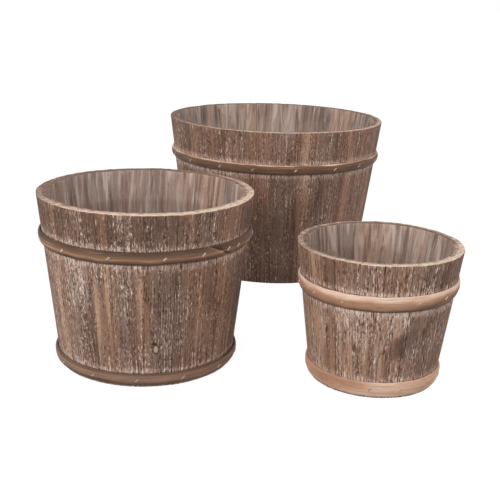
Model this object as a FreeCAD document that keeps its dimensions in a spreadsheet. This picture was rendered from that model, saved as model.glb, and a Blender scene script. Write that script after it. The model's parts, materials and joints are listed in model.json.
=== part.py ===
import FreeCAD, Part
import math
import os
import Sketcher
from FreeCAD import Placement, Rotation, Vector

# A set of three round stave planters that nest, in millimetres, +Z up.
# The origin is on the ground at the middle of the space that the set takes as it stands.
# Each planter: staves set edge to edge, a floor of three boards held in a groove of the staves,
# and wooden hoops with bevelled edges and scarfed ends, fastened by wire staples.

# Sizes that the three planters share
shared_sizes = {
    "stave_spread": 0.16,       # how far a joint strays from even spacing, as a share of one stave
    "stave_arris": 1.2,         # chamfer along a stave's outer long edges
    "groove_depth": 5.0,
    "floor_rise": 14.0,         # underside of the floor above the foot
    "floor_thick": 12.0,
    "floor_gap": 0.3,           # floor in its groove
    "board_gap": 0.4,           # between floor boards
    "drain_radius": 8.0,
    "hoop_gap": 0.2,            # between a hoop and the staves
    "lower_hoop_rise": 3.0,     # lower hoop above the foot
    "scarf_length": 60.0,
    "scarf_gap": 0.8,
    "scarf_margin": 9.0,        # from a scarf's tip to the staple beside it
    "staple_crown": 11.0,
    "staple_leg": 14.0,
    "staple_wire": 1.2,
    "staple_lift": 0.1,         # crown off the hoop
    "staple_tilt": 40.0,
    "staple_offset": 15.0,      # from the middle of the scarf to the staple that pins it
    "joint_margin": 2.0,        # from a staple to the nearest joint between staves
}

# Sizes of each planter, radii over the staves
planter_sizes = {
    "large": {
        "top_radius": 228.5, "base_radius": 188.0, "height": 320.0, "wall": 16.0,
        "staves": 30, "stave_turn": -92.0, "centre_x": 52.0, "centre_y": 257.2,
        "hoop_height": 19.0, "hoop_depth": 6.5, "hoop_bevel": 5.0, "upper_hoop_rise": 234.8,
        "upper_scarf_turn": 109.5, "hoop_staples": 18,
    },
    "medium": {
        "top_radius": 172.0, "base_radius": 141.5, "height": 276.0, "wall": 18.0,
        "staves": 24, "stave_turn": -84.5, "centre_x": -162.2, "centre_y": -302.8,
        "hoop_height": 20.0, "hoop_depth": 6.0, "hoop_bevel": 5.5, "upper_hoop_rise": 199.8,
        "upper_scarf_turn": -42.0, "lower_scarf_turn": 140.0, "hoop_staples": 14,
    },
    "small": {
        "top_radius": 128.5, "base_radius": 100.5, "height": 217.0, "wall": 15.0,
        "staves": 22, "stave_turn": -94.0, "centre_x": 205.7, "centre_y": -357.2,
        "hoop_height": 24.0, "hoop_depth": 5.0, "hoop_bevel": 6.5, "upper_hoop_rise": 144.0,
        "upper_scarf_turn": 73.0, "lower_scarf_turn": 120.0, "hoop_staples": 14,
    },
}

# The large planter's staves run plain down to the ground, and the other two have a hoop at the foot as well
hoop_places = {"large": ("upper",), "medium": ("upper", "lower"), "small": ("upper", "lower")}

staves_per_node = 2
golden_angle = 137.5            # degrees from one stave's stray to the next, so that no pattern shows
board_names = ("left", "middle", "right")
up = Vector(0, 0, 1)

doc = FreeCAD.newDocument("stave_planters")
sheet = doc.addObject("Spreadsheet::Sheet", "sizes")
nodes = []


def fill_sheet():
    rows = list(shared_sizes.items())
    for planter, sizes in planter_sizes.items():
        rows += [("%s_%s" % (planter, name), number) for name, number in sizes.items()]
    for row, (name, number) in enumerate(rows, 1):
        sheet.set("A%d" % row, name)
        sheet.set("B%d" % row, str(number))
        sheet.setAlias("B%d" % row, name)
    doc.recompute()


def cell(name, planter=None):
    return "sizes.%s" % name if planter is None else "sizes.%s_%s" % (planter, name)


def value(name, planter=None):
    return float(sheet.get(name if planter is None else "%s_%s" % (planter, name)))


def bind(piece, **expressions):
    for name, expression in expressions.items():
        piece.setExpression(name.replace("__", "."), expression)


def at_centre(piece, planter, turn=None, rise="0"):
    piece.Placement = Placement(Vector(), Rotation(up, 1))
    bind(piece, Placement__Base__x=cell("centre_x", planter), Placement__Base__y=cell("centre_y", planter),
         Placement__Base__z=rise, Placement__Rotation__Angle=turn or "0 deg")


def name_node(piece, label):
    piece.Label = label
    nodes.append(piece)


# Outer radius of the staves at a height, as an expression
def wall_radius(planter, rise):
    flare = "(%s - %s)" % (cell("top_radius", planter), cell("base_radius", planter))
    return "(%s + %s * (%s) / %s)" % (cell("base_radius", planter), flare, rise, cell("height", planter))


# The same radius as a number
def wall_radius_at(planter, rise):
    flare = value("top_radius", planter) - value("base_radius", planter)
    return value("base_radius", planter) + flare * rise / value("height", planter)


def wall_lean(planter):
    flare = value("top_radius", planter) - value("base_radius", planter)
    return math.degrees(math.atan2(flare, value("height", planter)))


def draw_loop(sketch, points):
    corners = [Vector(x, y, 0) for x, y in points]
    lines = [sketch.addGeometry(Part.LineSegment(a, b), False)
             for a, b in zip(corners, corners[1:] + corners[:1])]
    for line, following in zip(lines, lines[1:] + lines[:1]):
        sketch.addConstraint(Sketcher.Constraint("Coincident", line, 2, following, 1))
    return lines


def dimension(sketch, name, expression, kind, *places):
    number = float(sketch.evalExpression(expression))
    index = sketch.addConstraint(Sketcher.Constraint(kind, *places, number))
    sketch.renameConstraint(index, name)
    sketch.setExpression("Constraints." + name, expression)


# A closed outline of straight lines, with both distances of each named corner set by expressions
def draw_corners(sketch, corners):
    lines = draw_loop(sketch, [(float(sketch.evalExpression(across)), float(sketch.evalExpression(along)))
                               for name, across, along in corners])
    for line, (name, across, along) in zip(lines, corners):
        dimension(sketch, name + "_across", across, "DistanceX", -1, 1, line, 1)
        dimension(sketch, name + "_along", along, "DistanceY", -1, 1, line, 1)


def plane_sketch(body, name, role):
    sketch = body.newObject("Sketcher::SketchObject", name)
    plane = next(feature for feature in body.Origin.OriginFeatures if feature.Role == role)
    sketch.AttachmentSupport = (plane, [""])
    sketch.MapMode = "FlatFace"
    return sketch


# Section of a planter's wall, seen with the planter's axis on the left: the outside leans out
# towards the rim, and the inside follows it, apart from the groove for the floor.
def wall_section(planter):
    wall = value("wall", planter)
    height = value("height", planter)
    depth = value("groove_depth")
    low = value("floor_rise")
    high = low + value("floor_thick") + 2 * value("floor_gap")
    inside = {rise: wall_radius_at(planter, rise) - wall for rise in (0, low, high, height)}
    sketch = doc.addObject("Sketcher::SketchObject", planter + "_wall_section")
    sketch.Placement = Placement(Vector(), Rotation(Vector(1, 0, 0), 90))
    lines = draw_loop(sketch, [
        (value("base_radius", planter), 0), (value("top_radius", planter), height),
        (inside[height], height), (inside[high], high), (inside[high] + depth, high),
        (inside[low] + depth, low), (inside[low], low), (inside[0], 0)])
    outside, rim, upper, groove_top, groove_back, groove_foot, lower, foot = lines
    for line in (rim, groove_top, groove_foot, foot):
        sketch.addConstraint(Sketcher.Constraint("Horizontal", line))
    for line in (upper, groove_back, lower):
        sketch.addConstraint(Sketcher.Constraint("Parallel", outside, line))
    sketch.addConstraint(Sketcher.Constraint("PointOnObject", lower, 1, upper))
    sketch.addConstraint(Sketcher.Constraint("PointOnObject", outside, 1, -1))
    dimension(sketch, "base_radius", cell("base_radius", planter), "DistanceX", -1, 1, outside, 1)
    dimension(sketch, "top_radius", cell("top_radius", planter), "DistanceX", -1, 1, outside, 2)
    dimension(sketch, "height", cell("height", planter), "DistanceY", -1, 1, outside, 2)
    dimension(sketch, "wall", cell("wall", planter), "DistanceX", rim, 2, rim, 1)
    dimension(sketch, "groove_depth", cell("groove_depth"), "DistanceX", groove_top, 1, groove_top, 2)
    dimension(sketch, "floor_rise", cell("floor_rise") + " - " + cell("floor_gap"),
              "DistanceY", -1, 1, lower, 1)
    dimension(sketch, "groove_height", "%s + 2 * %s" % (cell("floor_thick"), cell("floor_gap")),
              "DistanceY", groove_back, 2, groove_back, 1)
    return sketch


def joint_stray(planter, index):
    return math.sin(math.radians(golden_angle * (index % value("staves", planter))))


# Where the joint before a stave lies round the planter, from its first joint, as an expression
def joint_turn(planter, index):
    stray = joint_stray(planter, index)
    return "(%d + %s * %.6f) * 360 deg / %s" % (index, cell("stave_spread"), stray, cell("staves", planter))


# The same place in degrees, with the planter's own turn
def joint_angle(planter, index):
    steps = index + value("stave_spread") * joint_stray(planter, index)
    return value("stave_turn", planter) + steps * 360 / value("staves", planter)


# The two long edges on the outside of a stave
def outer_arrises(planter, shape):
    found = []
    for number, edge in enumerate(shape.Edges, 1):
        ends = [vertex.Point for vertex in edge.Vertexes]
        rises = sorted(point.z for point in ends)
        outside = all(abs(math.hypot(point.x, point.y) - wall_radius_at(planter, point.z)) < 0.01
                      for point in ends)
        if outside and len(ends) == 2 and rises[1] - rises[0] > value("height", planter) / 2:
            found.append(number)
    return found


# A stave is the wall's section turned through its own width, its outer edges eased
def make_staves(planter):
    section = wall_section(planter)
    blanks = []
    for index in range(int(value("staves", planter))):
        blank = doc.addObject("Part::Revolution", "%s_stave_blank" % planter)
        blank.Source = section
        blank.Axis = up
        blank.Base = Vector()
        blank.Solid = True
        bind(blank, Angle="%s - %s" % (joint_turn(planter, index + 1), joint_turn(planter, index)))
        blanks.append(blank)
    doc.recompute()
    staves = []
    ease = value("stave_arris")
    for index, blank in enumerate(blanks):
        stave = doc.addObject("Part::Chamfer", "%s_stave" % planter)
        stave.Base = blank
        stave.Edges = [(number, ease, ease) for number in outer_arrises(planter, blank.Shape)]
        at_centre(stave, planter, "%s * 1 deg + %s" % (cell("stave_turn", planter), joint_turn(planter, index)))
        staves.append(stave)
    return staves


# The floor is a disc with sides that lean as the groove does, sawn into three boards
def make_floor(planter):
    top = "%s + %s" % (cell("floor_rise"), cell("floor_thick"))
    reach = "%s - %s - %s" % (cell("groove_depth"), cell("wall", planter), cell("floor_gap"))
    radius = "(%s + %s)" % (wall_radius(planter, cell("floor_rise")), reach)
    width = "(2 * %s / 3)" % radius
    for index, name in enumerate(board_names):
        disc = doc.addObject("Part::Cone", "%s_floor_disc" % planter)
        bind(disc, Radius1=radius, Radius2="%s + %s" % (wall_radius(planter, top), reach),
             Height=cell("floor_thick"))
        at_centre(disc, planter, rise=cell("floor_rise"))
        strip = doc.addObject("Part::Box", "%s_floor_strip" % planter)
        ends = {"left": cell("board_gap") + " / 2", "middle": cell("board_gap"), "right": cell("board_gap") + " / 2"}
        start = {"left": "-2 * %s" % width, "middle": "-%s / 2 + %s / 2" % (width, cell("board_gap")),
                 "right": "%s / 2 + %s / 2" % (width, cell("board_gap"))}
        span = {"left": "1.5 * %s" % width, "middle": width, "right": "1.5 * %s" % width}
        bind(strip, Length="%s - %s" % (span[name], ends[name]), Width="4 * %s" % radius,
             Height=cell("floor_thick"))
        bind(strip, Placement__Base__x="%s + %s" % (cell("centre_x", planter), start[name]),
             Placement__Base__y="%s - 2 * %s" % (cell("centre_y", planter), radius),
             Placement__Base__z=cell("floor_rise"))
        board = doc.addObject("Part::Common", "%s_floor_board" % planter)
        board.Base = disc
        board.Tool = strip
        if name == "middle":
            board = drill_drain(planter, board)
        name_node(board, "%s_floor_%s" % (planter, name))


def drill_drain(planter, board):
    drill = doc.addObject("Part::Cylinder", "%s_drain" % planter)
    bind(drill, Radius=cell("drain_radius"), Height="3 * %s" % cell("floor_thick"))
    at_centre(drill, planter, rise="%s - %s" % (cell("floor_rise"), cell("floor_thick")))
    drained = doc.addObject("Part::Cut", "%s_drained_board" % planter)
    drained.Base = board
    drained.Tool = drill
    return drained


# A hoop is a section turned round the staves and slit slantwise at its scarf. The section's back
# lies along the staves, and its face stands off by the hoop's depth between two bevels.
def make_hoop(planter, place):
    low = hoop_rise(planter, place)
    high = "%s + %s" % (low, cell("hoop_height", planter))
    depth = cell("hoop_depth", planter)
    bevel = cell("hoop_bevel", planter)
    body = doc.addObject("PartDesign::Body", "%s_%s_hoop_blank" % (planter, place))

    sketch = plane_sketch(body, body.Name + "_section", "XZ_Plane")
    draw_corners(sketch, [
        ("back_low", back_radius(planter, low), low),
        ("face_low", "%s + %s" % (back_radius(planter, "%s + %s" % (low, bevel)), depth), "%s + %s" % (low, bevel)),
        ("face_high", "%s + %s" % (back_radius(planter, "%s - %s" % (high, bevel)), depth), "%s - %s" % (high, bevel)),
        ("back_high", back_radius(planter, high), high)])
    ring = body.newObject("PartDesign::Revolution", body.Name + "_ring")
    ring.Profile = sketch
    ring.ReferenceAxis = (sketch, ["V_Axis"])
    ring.Angle = 360

    half = cell("scarf_length") + " / 2"
    foot = "(%s) - %s" % (low, depth)
    head = "(%s) + %s" % (high, depth)
    slit = plane_sketch(body, body.Name + "_scarf", "YZ_Plane")
    draw_corners(slit, [
        ("foot_near", half, foot), ("foot_far", "%s + %s" % (half, cell("scarf_gap")), foot),
        ("head_far", "-%s + %s" % (half, cell("scarf_gap")), head), ("head_near", "-" + half, head)])
    scarf = body.newObject("PartDesign::Pocket", body.Name + "_slit")
    scarf.Profile = slit
    scarf.Type = "ThroughAll"
    scarf.Reversed = True
    at_centre(body, planter, "%s * 1 deg" % cell(place + "_scarf_turn", planter))
    return body


def hoop_rise(planter, place):
    return cell("upper_hoop_rise", planter) if place == "upper" else cell("lower_hoop_rise")


def back_radius(planter, rise):
    return "%s + %s" % (wall_radius(planter, rise), cell("hoop_gap"))


# One staple of flat wire: its crown lies across the origin along X, and its legs point down
def make_staple():
    body = doc.addObject("PartDesign::Body", "staple")
    sketch = plane_sketch(body, "staple_shape", "XZ_Plane")
    half = cell("staple_crown") + " / 2"
    inner = "%s - %s" % (half, cell("staple_wire"))
    under = cell("staple_lift")
    top = "%s + %s" % (under, cell("staple_wire"))
    tip = "%s - %s" % (top, cell("staple_leg"))
    draw_corners(sketch, [
        ("left_top", "-(%s)" % half, top), ("left_tip", "-(%s)" % half, tip),
        ("left_inner_tip", "-(%s)" % inner, tip), ("left_inner", "-(%s)" % inner, under),
        ("right_inner", inner, under), ("right_inner_tip", inner, tip),
        ("right_tip", half, tip), ("right_top", half, top)])
    wire = body.newObject("PartDesign::Pad", "staple_wire")
    wire.Profile = sketch
    wire.Midplane = True
    bind(wire, Length=cell("staple_wire"))
    doc.recompute()
    return body


# A staple near a joint between staves is driven beside it, with both legs in one stave
def clear_of_joints(planter, turn, reach):
    for index in range(int(value("staves", planter))):
        offset = (turn - joint_angle(planter, index) + 180) % 360 - 180
        if abs(offset) < reach:
            return turn - offset + math.copysign(reach, offset)
    return turn


# Staples stand at even steps from one tip of the scarf round to the other, with one more through it
def staple_turns(planter, place):
    radius = hoop_crown(planter, place)[0]
    turn = value(place + "_scarf_turn", planter)
    clear = math.degrees((value("scarf_length") / 2 + value("scarf_margin")) / radius)
    count = int(value("hoop_staples", planter)) - 1
    step = (360 - 2 * clear) / (count - 1)
    turns = [turn + clear + step * index for index in range(count)]
    turns.append(turn + math.degrees(value("staple_offset") / radius))
    reach = math.degrees((value("staple_crown") / 2 + value("joint_margin")) / radius)
    return [clear_of_joints(planter, each, reach) for each in turns]


# Radius and height of the middle of a hoop's face
def hoop_crown(planter, place):
    low = value("upper_hoop_rise", planter) if place == "upper" else value("lower_hoop_rise")
    middle = low + value("hoop_height", planter) / 2
    return wall_radius_at(planter, middle) + value("hoop_gap") + value("hoop_depth", planter), middle


# Every staple lies square to the wall, its crown slanting across the hoop
def place_staples(planter, staple):
    copies = []
    centre = Vector(value("centre_x", planter), value("centre_y", planter), 0)
    lie = Rotation(Vector(0, 1, 0), 90 + wall_lean(planter)) * Rotation(up, 90 + value("staple_tilt"))
    for place in hoop_places[planter]:
        radius, rise = hoop_crown(planter, place)
        for turn in staple_turns(planter, place):
            copy = staple.Shape.copy()
            copy.Placement = Placement(centre, Rotation(up, turn)) * Placement(Vector(radius, 0, rise), lie)
            copies.append(copy)
    return copies


def group_shapes(name, shapes):
    group = doc.addObject("Part::Feature", name)
    group.Shape = Part.makeCompound(shapes)
    return group


# The staples that reach a piece leave their own shape in it as holes
def drive_into(piece, staples):
    reaching = [staple for staple in staples if staple.BoundBox.intersect(piece.Shape.BoundBox)]
    if not reaching:
        return piece
    holed = doc.addObject("Part::Cut", piece.Name + "_holed")
    holed.Base = piece
    holed.Tool = group_shapes(piece.Name + "_holes", reaching)
    return holed


def make_planter(planter, staple):
    staples = place_staples(planter, staple)
    staves = make_staves(planter)
    hoops = {place: make_hoop(planter, place) for place in hoop_places[planter]}
    make_floor(planter)
    doc.recompute()
    staves = [drive_into(stave, staples) for stave in staves]
    for first in range(0, len(staves), staves_per_node):
        group = doc.addObject("Part::Compound", "%s_stave_group" % planter)
        group.Links = staves[first:first + staves_per_node]
        name_node(group, "%s_staves_%02d" % (planter, first // staves_per_node + 1))
    for place, hoop in hoops.items():
        name_node(drive_into(hoop, staples), "%s_%s_hoop" % (planter, place))
    name_node(group_shapes("%s_staple_group" % planter, staples), "%s_staples" % planter)


def check_document():
    doc.recompute()
    for piece in doc.Objects:
        if "Invalid" in piece.State or "Error" in piece.State:
            raise RuntimeError("%s failed: %s" % (piece.Label, piece.State))
    for node in nodes:
        if node.Shape.isNull() or not node.Shape.isValid():
            raise RuntimeError("%s has no valid shape" % node.Label)
        for solid in node.Shape.Solids:
            if solid.Volume <= 0:
                raise RuntimeError("%s has an empty solid" % node.Label)


def write_parts():
    os.makedirs("parts", exist_ok=True)
    for node in nodes:
        node.Shape.exportStep("parts/%s.step" % node.Label)
        print(node.Label, len(node.Shape.Solids), "solids", round(node.Shape.Volume / 1000, 1), "cm3")


fill_sheet()
staple_pattern = make_staple()
for planter_name in planter_sizes:
    make_planter(planter_name, staple_pattern)
check_document()
write_parts()
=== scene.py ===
import json
import math

import bmesh
import bpy
import numpy as np
from mathutils import Matrix, Vector, noise


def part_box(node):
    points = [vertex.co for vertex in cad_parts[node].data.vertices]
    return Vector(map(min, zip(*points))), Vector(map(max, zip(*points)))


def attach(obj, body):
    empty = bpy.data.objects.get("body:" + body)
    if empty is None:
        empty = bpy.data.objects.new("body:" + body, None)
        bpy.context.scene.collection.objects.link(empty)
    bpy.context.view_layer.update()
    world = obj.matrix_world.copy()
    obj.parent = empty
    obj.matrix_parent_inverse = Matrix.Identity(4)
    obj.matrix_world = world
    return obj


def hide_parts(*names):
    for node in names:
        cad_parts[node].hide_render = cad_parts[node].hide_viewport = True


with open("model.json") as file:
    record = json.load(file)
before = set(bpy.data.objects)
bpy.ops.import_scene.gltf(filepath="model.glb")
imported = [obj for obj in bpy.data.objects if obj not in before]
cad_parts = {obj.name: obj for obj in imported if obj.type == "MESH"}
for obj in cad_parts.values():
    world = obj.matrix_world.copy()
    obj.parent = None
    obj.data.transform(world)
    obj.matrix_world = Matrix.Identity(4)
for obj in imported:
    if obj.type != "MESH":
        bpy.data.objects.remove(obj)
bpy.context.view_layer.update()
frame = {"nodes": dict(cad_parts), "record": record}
print("frame loaded with", len(frame["nodes"]), "nodes")

# What differs from planter to planter. Places and outlines come from the frame.
# A hoop's bands are (height on its face, lightness), partly the rod's tone and partly painted light and shade
# on its round face; a stave's finish is (stain, wash, grey).
# A mark is (heading, rise, half width, half height), then what it adds to stain, wash, grey, pebbling, waves.
# The inside turns to a tone from one depth below the rim to another, by an amount: painted shade deeper down
# in the medium and small, paler deeper down in the large.
# A hoop's tone spot is (hoop, heading, half turn, height on its face, half height, lightness added): a patch
# lighter or darker than its bands.
planters = {
    "large": {
        "staves": 30, "staveTurn": -92.0, "upperScarf": 109.5, "scarfRun": 0.034,
        "upperBands": ((0.0, 0.14), (0.3, 0.20), (0.72, 0.24), (0.88, 0.30), (0.96, 0.90)),
        "hoopSkew": (0.0, 0.0),
        "insideDepthShadeAndPale": ("insidePale", 0.025, 0.045, 0.10),
        "rimWearAndLight": 0.62, "rimLeast": 0.10, "rimBrown": 0.5, "grainDepth": 0.9, "grainRun": 1.0,
        "hoopStains": (),
        # painted shade: this mark darkens the large's foot where the medium and small planters shade it
        "marks": ((-88.0, 0.06, 0.080, 0.150, -0.55, -0.30, 0.0, 0.0, 0.0),),
        "staplesSeen": (-141.0, -120.0, -102.0, -80.5, -58.6, -41.0), "stapleStep": 20.0,
        "finish": {
            25: (0.35, 0.30, 0.25), 26: (0.42, 0.35, 0.20), 27: (0.50, 0.40, 0.20), 28: (0.55, 0.45, 0.20),
            29: (0.62, 0.45, 0.15), 0: (0.30, 0.55, 0.55), 1: (0.85, 0.60, 0.15), 2: (0.28, 0.60, 0.60),
            3: (0.74, 0.36, 0.15), 4: (0.48, 0.40, 0.25), 5: (0.58, 0.34, 0.20), 6: (0.50, 0.30, 0.35),
            7: (0.62, 0.45, 0.10),
        },
    },
    "medium": {
        "staves": 24, "staveTurn": -84.5, "upperScarf": -42.0, "lowerScarf": 140.0, "scarfRun": 0.040,
        "upperBands": ((0.0, 0.02), (0.12, 0.06), (0.28, 0.32), (0.42, 0.58), (0.56, 0.36), (0.72, 0.20),
                       (0.92, 0.10)),
        "lowerBands": ((0.0, 0.08), (0.28, 0.18), (0.42, 0.52), (0.75, 0.48), (0.9, 0.14)), "lowerGrey": 0.7,
        "hoopSkew": (0.0020, -20.0),
        "hoopStains": (("upper", -142.0, 22.0, 0.45, 0.30, 0.16), ("lower", -150.0, 30.0, 0.5, 0.4, 0.05)),
        "insideDepthShadeAndPale": ("insideDark", 0.046, 0.058, 0.27),
        "rimWearAndLight": 0.9, "rimLeast": 0.22, "rimBrown": 0.35, "grainDepth": 1.02, "grainRun": 1.0,
        "marks": (
            (-86.7, 0.130, 0.0050, 0.060, 0.75, 0.10, -0.60, 0.0, 0.0),
            (-110.4, 0.100, 0.0060, 0.085, 0.40, 0.05, -0.30, 0.0, 0.0),
            (-120.7, 0.120, 0.0085, 0.090, -0.40, 0.0, 0.20, 1.0, 0.0),
            (-128.1, 0.100, 0.0060, 0.090, 0.0, 0.20, 0.80, 0.0, 0.0),
            (-69.1, 0.110, 0.0210, 0.085, -0.45, -0.10, 0.30, 0.0, 1.0),
            (-95.0, 0.110, 0.0075, 0.100, 0.0, 0.0, 0.80, 0.3, 0.0),
            (-114.3, 0.110, 0.0040, 0.110, -0.50, -0.20, 0.0, 0.0, 0.0),
            (-139.8, 0.100, 0.0060, 0.100, 0.50, 0.0, -0.30, 0.0, 0.0),
            (-91.0, 0.110, 0.0040, 0.100, -0.25, -0.10, 0.10, 0.0, 0.0),
            (-82.0, 0.110, 0.0070, 0.090, 0.50, 0.15, -0.30, 0.0, 0.0),
            (-48.5, 0.110, 0.0070, 0.100, 0.30, 0.15, -0.20, 0.0, 0.0),
            (-74.5, 0.110, 0.0050, 0.090, -0.25, -0.15, 0.0, 0.0, 0.0),
            (-105.0, 0.248, 0.2000, 0.035, -0.35, -0.15, -0.1, 0.3, 0.0),
            (-140.0, 0.248, 0.0700, 0.035, -0.15, -0.25, 0.0, 0.0, 0.0),
        ),
        "knot": (-79.0, 0.0690),
        "lowerStaplePhase": -6.0,
        "staplesSeen": (-129.6, -102.0, -74.2, -53.8, -37.1, -28.5), "stapleStep": 27.0,
        "finish": {
            19: (0.55, 0.60, 0.30), 20: (0.72, 0.75, 0.15), 21: (0.45, 1.00, 0.35), 22: (0.62, 0.32, 0.10),
            23: (0.36, 0.50, 0.30), 0: (0.25, 0.50, 0.75), 1: (0.65, 0.40, 0.25), 2: (0.42, 0.42, 0.25),
            3: (0.80, 0.35, 0.15), 4: (0.35, 0.30, 0.40), 8: (1.00, 0.35, 0.00), 9: (0.90, 0.55, 0.00),
            10: (0.50, 0.60, 0.30), 11: (0.12, 0.30, 0.20), 12: (0.50, 1.00, 0.40), 13: (0.35, 0.50, 0.30),
            14: (0.35, 0.40, 0.40), 15: (0.28, 0.40, 0.40), 16: (0.36, 0.40, 0.30), 17: (0.40, 0.40, 0.20),
        },
    },
    "small": {
        "staves": 22, "staveTurn": -94.0, "upperScarf": 73.0, "lowerScarf": 120.0, "scarfRun": 0.040,
        "upperBands": ((0.0, 0.0), (0.07, 0.15), (0.16, 0.48), (0.3, 0.62), (0.5, 0.68), (0.68, 0.84),
                       (0.85, 1.0)),
        "lowerBands": ((0.0, 1.0), (0.25, 1.0), (0.5, 0.95), (0.75, 0.88), (0.92, 0.80)), "lowerGrey": 0.0,
        "hoopSkew": (0.0025, 0.0),
        "hoopStains": (
            ("upper", -58.0, 20.0, 0.22, 0.22, -0.30), ("upper", -24.0, 18.0, 0.40, 0.30, -0.36),
            ("upper", -112.0, 16.0, 0.45, 0.10, -0.10), ("lower", -140.0, 28.0, 0.5, 0.5, -0.26),
            ("lower", -50.0, 24.0, 0.35, 0.35, -0.14), ("lower", -112.0, 10.0, 0.7, 0.2, -0.12),
        ),
        "insideDepthShadeAndPale": ("insideDark", 0.028, 0.052, 0.23),
        "rimWearAndLight": 0.85, "rimLeast": 0.5, "rimBrown": 0.4, "grainDepth": 1.05, "grainRun": 0.75,
        "marks": (
            (-141.9, 0.096, 0.0060, 0.024, 0.30, 1.80, 0.20, 0.5, 0.0),
            (-131.8, 0.085, 0.0055, 0.090, 0.05, -0.30, 0.0, 0.0, 0.0),
            (-126.0, 0.085, 0.0045, 0.090, 0.30, 0.10, 0.0, 0.0, 0.0),
            (-110.5, 0.090, 0.0050, 0.095, -0.30, -0.10, 0.30, 0.0, 0.0),
            (-103.0, 0.090, 0.0050, 0.090, 0.35, 0.15, 0.0, 0.0, 0.0),
            (-94.5, 0.090, 0.0060, 0.090, 0.45, 0.25, 0.0, 0.0, 0.0),
            (-116.2, 0.100, 0.0080, 0.095, 0.20, 0.40, 0.0, 0.0, 0.0),
            (-107.6, 0.090, 0.0090, 0.095, 0.0, 0.10, 0.30, 0.5, 0.0),
            (-98.8, 0.110, 0.0060, 0.060, -0.10, -0.45, -0.30, 0.0, 0.0),
            (-76.3, 0.126, 0.0150, 0.018, 0.30, 1.50, 0.30, 0.0, 0.0),
            (-69.5, 0.118, 0.0065, 0.014, -0.70, -1.00, 0.30, 0.0, 0.0),
            (-72.5, 0.100, 0.0090, 0.014, -0.80, -1.20, 0.30, 0.0, 0.0),
            (-78.5, 0.084, 0.0090, 0.016, -0.70, -1.00, 0.30, 0.0, 0.0),
            (-66.0, 0.078, 0.0110, 0.024, -0.15, -0.20, 0.40, 0.0, 0.0),
            (-95.0, 0.195, 0.1500, 0.030, -0.25, -0.40, 0.0, 0.2, 0.0),
        ),
        "crack": (-94.4, 0.2120),
        "lowerStaplePhase": 4.0,
        "staplesSeen": (-120.9, -94.4, -69.4, -43.9), "stapleStep": 25.6,
        "finish": {
            17: (0.95, 0.50, 0.00), 18: (0.98, 0.65, 0.00), 19: (0.60, 0.45, 0.20), 20: (0.75, 0.75, 0.20),
            21: (0.60, 0.85, 0.20), 0: (0.75, 0.70, 0.15), 1: (0.55, 0.75, 0.40), 2: (0.35, 0.60, 0.60),
            3: (0.40, 0.38, 0.55), 4: (0.52, 0.26, 0.40), 5: (0.55, 0.20, 0.35), 6: (0.42, 0.80, 0.30),
            7: (0.50, 1.00, 0.25), 8: (0.80, 0.75, 0.10), 9: (0.12, 0.40, 0.10), 10: (0.85, 0.60, 0.00),
            11: (1.00, 0.55, 0.00), 12: (0.20, 0.30, 0.15), 13: (0.60, 0.75, 0.10), 14: (0.05, 0.30, 0.10),
            15: (0.50, 0.85, 0.15), 16: (0.65, 0.95, 0.10),
        },
    },
}


def clearSelection():
    if bpy.context.object and bpy.context.object.mode != "OBJECT":
        bpy.ops.object.mode_set(mode="OBJECT")
    bpy.ops.object.select_all(action="DESELECT")


# Selects by place, in edit mode: kind is verts, edges or faces
def pick(kind, test):
    bpy.ops.mesh.select_mode(type={"verts": "VERT", "edges": "EDGE", "faces": "FACE"}[kind])
    bpy.ops.mesh.select_all(action="DESELECT")
    bench = bmesh.from_edit_mesh(bpy.context.object.data)
    for part in getattr(bench, kind):
        if test(part):
            part.select_set(True)
    bench.select_flush_mode()
    bmesh.update_edit_mesh(bpy.context.object.data)


def meshPoints(mesh):
    points = np.empty(len(mesh.vertices) * 3, np.float32)
    mesh.vertices.foreach_get("co", points)
    return points.reshape(-1, 3).astype(float)


def setPoints(mesh, points):
    mesh.vertices.foreach_set("co", points.astype(np.float32).ravel())
    mesh.update()


def setAttribute(mesh, name, kind, key, values):
    layer = mesh.attributes.new(name, kind, "POINT")
    layer.data.foreach_set(key, np.asarray(values, np.float32).ravel())


# A steady number from 0 to 1 for each seed
def chance(seed):
    return noise.cell(Vector((seed * 1.37 + 0.5, seed * 0.71 + 7.3, 3.1))) * 0.5 + 0.5


# Smooth noise from -1 to 1 at many places
def ripple(places):
    return np.array([noise.noise(Vector(place)) for place in places])


endSlice = 0.0005


# Centre, radii, wall, floor and hoops of a planter, as the frame has them
def measurePlanter(name):
    nodes = [frame["nodes"][node] for node in frame["nodes"] if node.startswith(name + "_staves")]
    points = np.concatenate([meshPoints(node.data) for node in nodes])
    drain = next(mount for mount in frame["record"]["mounts"] if mount["name"] == name + "_drain")
    centre = Vector((*drain["pos_m"][:2], 0))
    radius = np.hypot(points[:, 0] - centre.x, points[:, 1] - centre.y)
    height = points[:, 2].max()
    top = radius[points[:, 2] > height - endSlice]
    floorLow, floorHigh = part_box(name + "_floor_left")
    return {
        "centre": centre, "height": height, "topRadius": top.max(), "drain": drain["dims"]["r_mm"] / 1000,
        "baseRadius": radius[points[:, 2] < endSlice].max(), "wall": top.max() - top.min(),
        "floorLow": floorLow.z, "floorHigh": floorHigh.z,
        "hoops": {place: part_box("%s_%s_hoop" % (name, place)) for place in ("upper", "lower")
                  if "%s_%s_hoop" % (name, place) in frame["nodes"]},
    }


for planterName, planterFacts in planters.items():
    planterFacts.update(measurePlanter(planterName))
    planterFacts["name"] = planterName


def wallRadius(planter, rise):
    flare = planter["topRadius"] - planter["baseRadius"]
    return planter["baseRadius"] + flare * rise / planter["height"]


def wallLean(planter):
    return math.atan2(planter["topRadius"] - planter["baseRadius"], planter["height"])


def atCentre(planter, angle, radius, rise):
    return np.stack([planter["centre"].x + radius * np.cos(angle),
                     planter["centre"].y + radius * np.sin(angle), rise], axis=1)


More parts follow.
